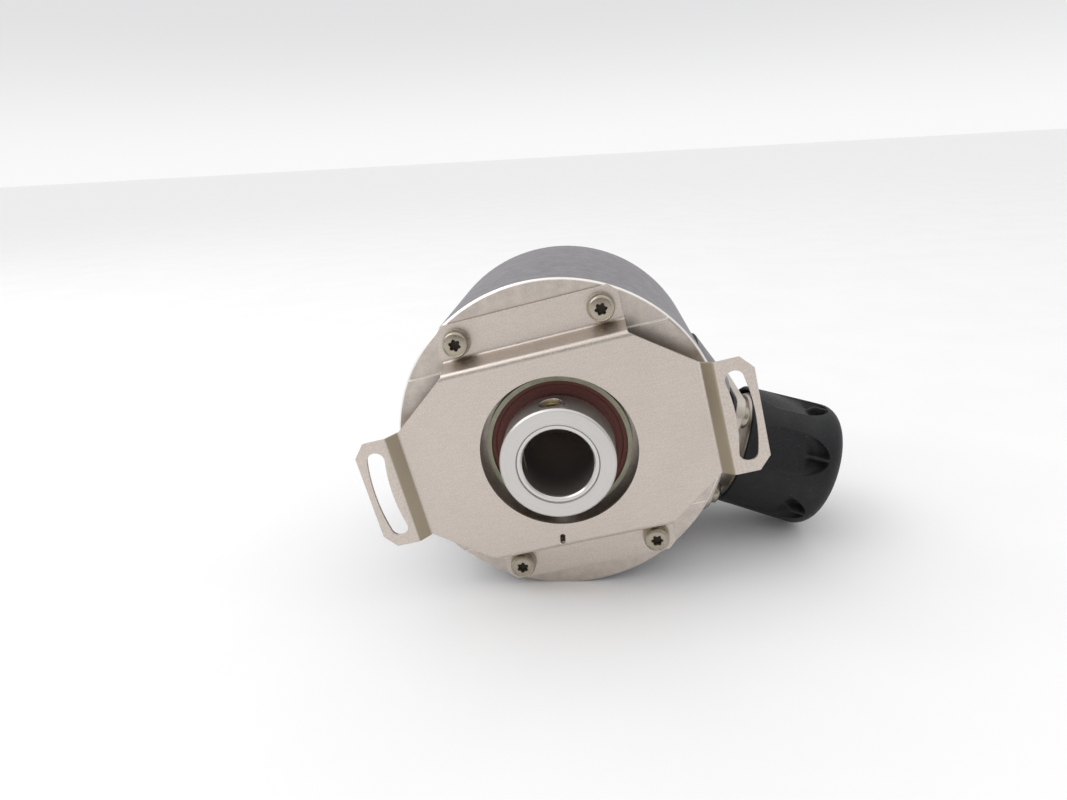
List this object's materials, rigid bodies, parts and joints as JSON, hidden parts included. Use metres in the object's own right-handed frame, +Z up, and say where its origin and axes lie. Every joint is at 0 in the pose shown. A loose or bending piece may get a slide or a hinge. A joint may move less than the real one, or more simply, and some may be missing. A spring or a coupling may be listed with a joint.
{
  "type": "rotary encoder",
  "caption": "Rotary encoder with a blind hollow shaft, clamping collar, spring-sheet stator coupling with slotted ears, and a round side connector under a push-on cap.",
  "frame": {"origin": "on the shaft axis, in the flange face that the stator coupling is screwed to", "axes": "+Y along the shaft from the motor side to the rear, -Y out of the shaft's bore, +Z up with the encoder lying on its side, so that the connector points to +X and 18 degrees down"},
  "size_m": [0.091, 0.0556, 0.058],
  "materials": {
    "flange_metal": "turned and bead-blasted, warm pale grey, with a bright rim chamfer",
    "housing_metal": "cast and blasted, cool matte grey",
    "spring_sheet": "satin nickel-plated spring steel",
    "screw_steel": "zinc-plated, dark driver recess",
    "washer_steel": "plain zinc",
    "seal_steel": "phosphated seal case",
    "seal_rubber": "maroon fluoroelastomer",
    "black_rubber": "black nitrile rubber",
    "shaft_steel": "ground stainless steel",
    "collar_steel": "fine-turned stainless steel",
    "passivated_steel": "yellow-passivated zinc",
    "bearing_steel": "ground bearing steel",
    "ball_steel": "polished bearing balls",
    "cage_sheet": "pressed steel",
    "spacer_metal": "turned aluminium",
    "blued_spring": "blued spring steel",
    "disc_glass": "clear glass with a chrome code track",
    "lens_glass": "clear lens",
    "reticle_glass": "clear glass with chrome windows",
    "optic_plastic": "black moulded plastic",
    "led_epoxy": "clear red epoxy",
    "silicon": "bare silicon under clear resin",
    "board_laminate": "green solder mask on glass laminate",
    "pillar_brass": "nickel-plated brass",
    "chip_plastic": "black moulding compound",
    "capacitor_can": "bare can",
    "header_plastic": "natural nylon",
    "ribbon_jacket": "grey ribbon cable",
    "plated_brass": "nickel-plated, satin",
    "insert_plastic": "black glass-filled plastic",
    "contact_gold": "gold-plated contacts",
    "cap_plastic": "fine-grained black moulding"
  },
  "bodies": {
    "housing": {"front_flange": "flange_metal", "housing_cap": "housing_metal", "housing_o_ring": "black_rubber", "housing_screws": "screw_steel", "stator_coupling": "spring_sheet", "coupling_screws": "screw_steel", "coupling_washers": "washer_steel", "shaft_seal_case": "seal_steel", "shaft_seal_lip": "seal_rubber", "front_bearing_outer_ring": "bearing_steel", "rear_bearing_outer_ring": "bearing_steel", "outer_spacer": "spacer_metal", "preload_washer": "blued_spring", "hub_retaining_ring": "blued_spring", "led_holder": "optic_plastic", "led": "led_epoxy", "led_lens": "lens_glass", "scanning_reticle": "reticle_glass", "reticle_holder": "optic_plastic", "photodiode_array": "silicon", "main_board": "board_laminate", "board_standoffs": "pillar_brass", "board_pillars": "pillar_brass", "signal_processor": "chip_plastic", "line_driver": "chip_plastic", "board_capacitor": "capacitor_can", "board_header": "header_plastic", "ribbon_cable": "ribbon_jacket", "connector_gasket": "black_rubber", "connector_shell": "plated_brass", "connector_insert": "insert_plastic", "contact_pins": "contact_gold", "connector_screws": "screw_steel"},
    "rotor": {"hollow_shaft": "shaft_steel", "clamping_collar": "collar_steel", "set_screws": "passivated_steel", "front_bearing_inner_ring": "bearing_steel", "rear_bearing_inner_ring": "bearing_steel", "inner_spacer": "spacer_metal", "shaft_circlip": "blued_spring", "disc_hub": "spacer_metal", "code_disc": "disc_glass", "disc_clamp": "spacer_metal", "disc_screw": "screw_steel"},
    "front_cage": {"front_bearing_cage": "cage_sheet", "front_bearing_balls": "ball_steel"},
    "rear_cage": {"rear_bearing_cage": "cage_sheet", "rear_bearing_balls": "ball_steel"},
    "cap": {"dust_cap": "cap_plastic", "dust_cap_seal": "black_rubber"}
  },
  "joints": [
    {"name": "shaft_spin", "type": "hinge", "parent": "housing", "child": "rotor", "pos_m": [0, 0, 0], "axis": [0, 1, 0], "continuous": true},
    {"name": "front_cage_spin", "type": "hinge", "parent": "housing", "child": "front_cage", "pos_m": [0, 0.0047, 0], "axis": [0, 1, 0], "continuous": true},
    {"name": "rear_cage_spin", "type": "hinge", "parent": "housing", "child": "rear_cage", "pos_m": [0, 0.0167, 0], "axis": [0, 1, 0], "continuous": true},
    {"name": "cap_pull", "type": "slide", "parent": "housing", "child": "cap", "axis": [0.9511, 0, -0.309], "range_m": [0, 0.02]}
  ],
  "couplings": [
    {"joint": "front_cage_spin", "follows": "shaft_spin", "ratio": 0.43721},
    {"joint": "rear_cage_spin", "follows": "shaft_spin", "ratio": 0.43721}
  ]
}
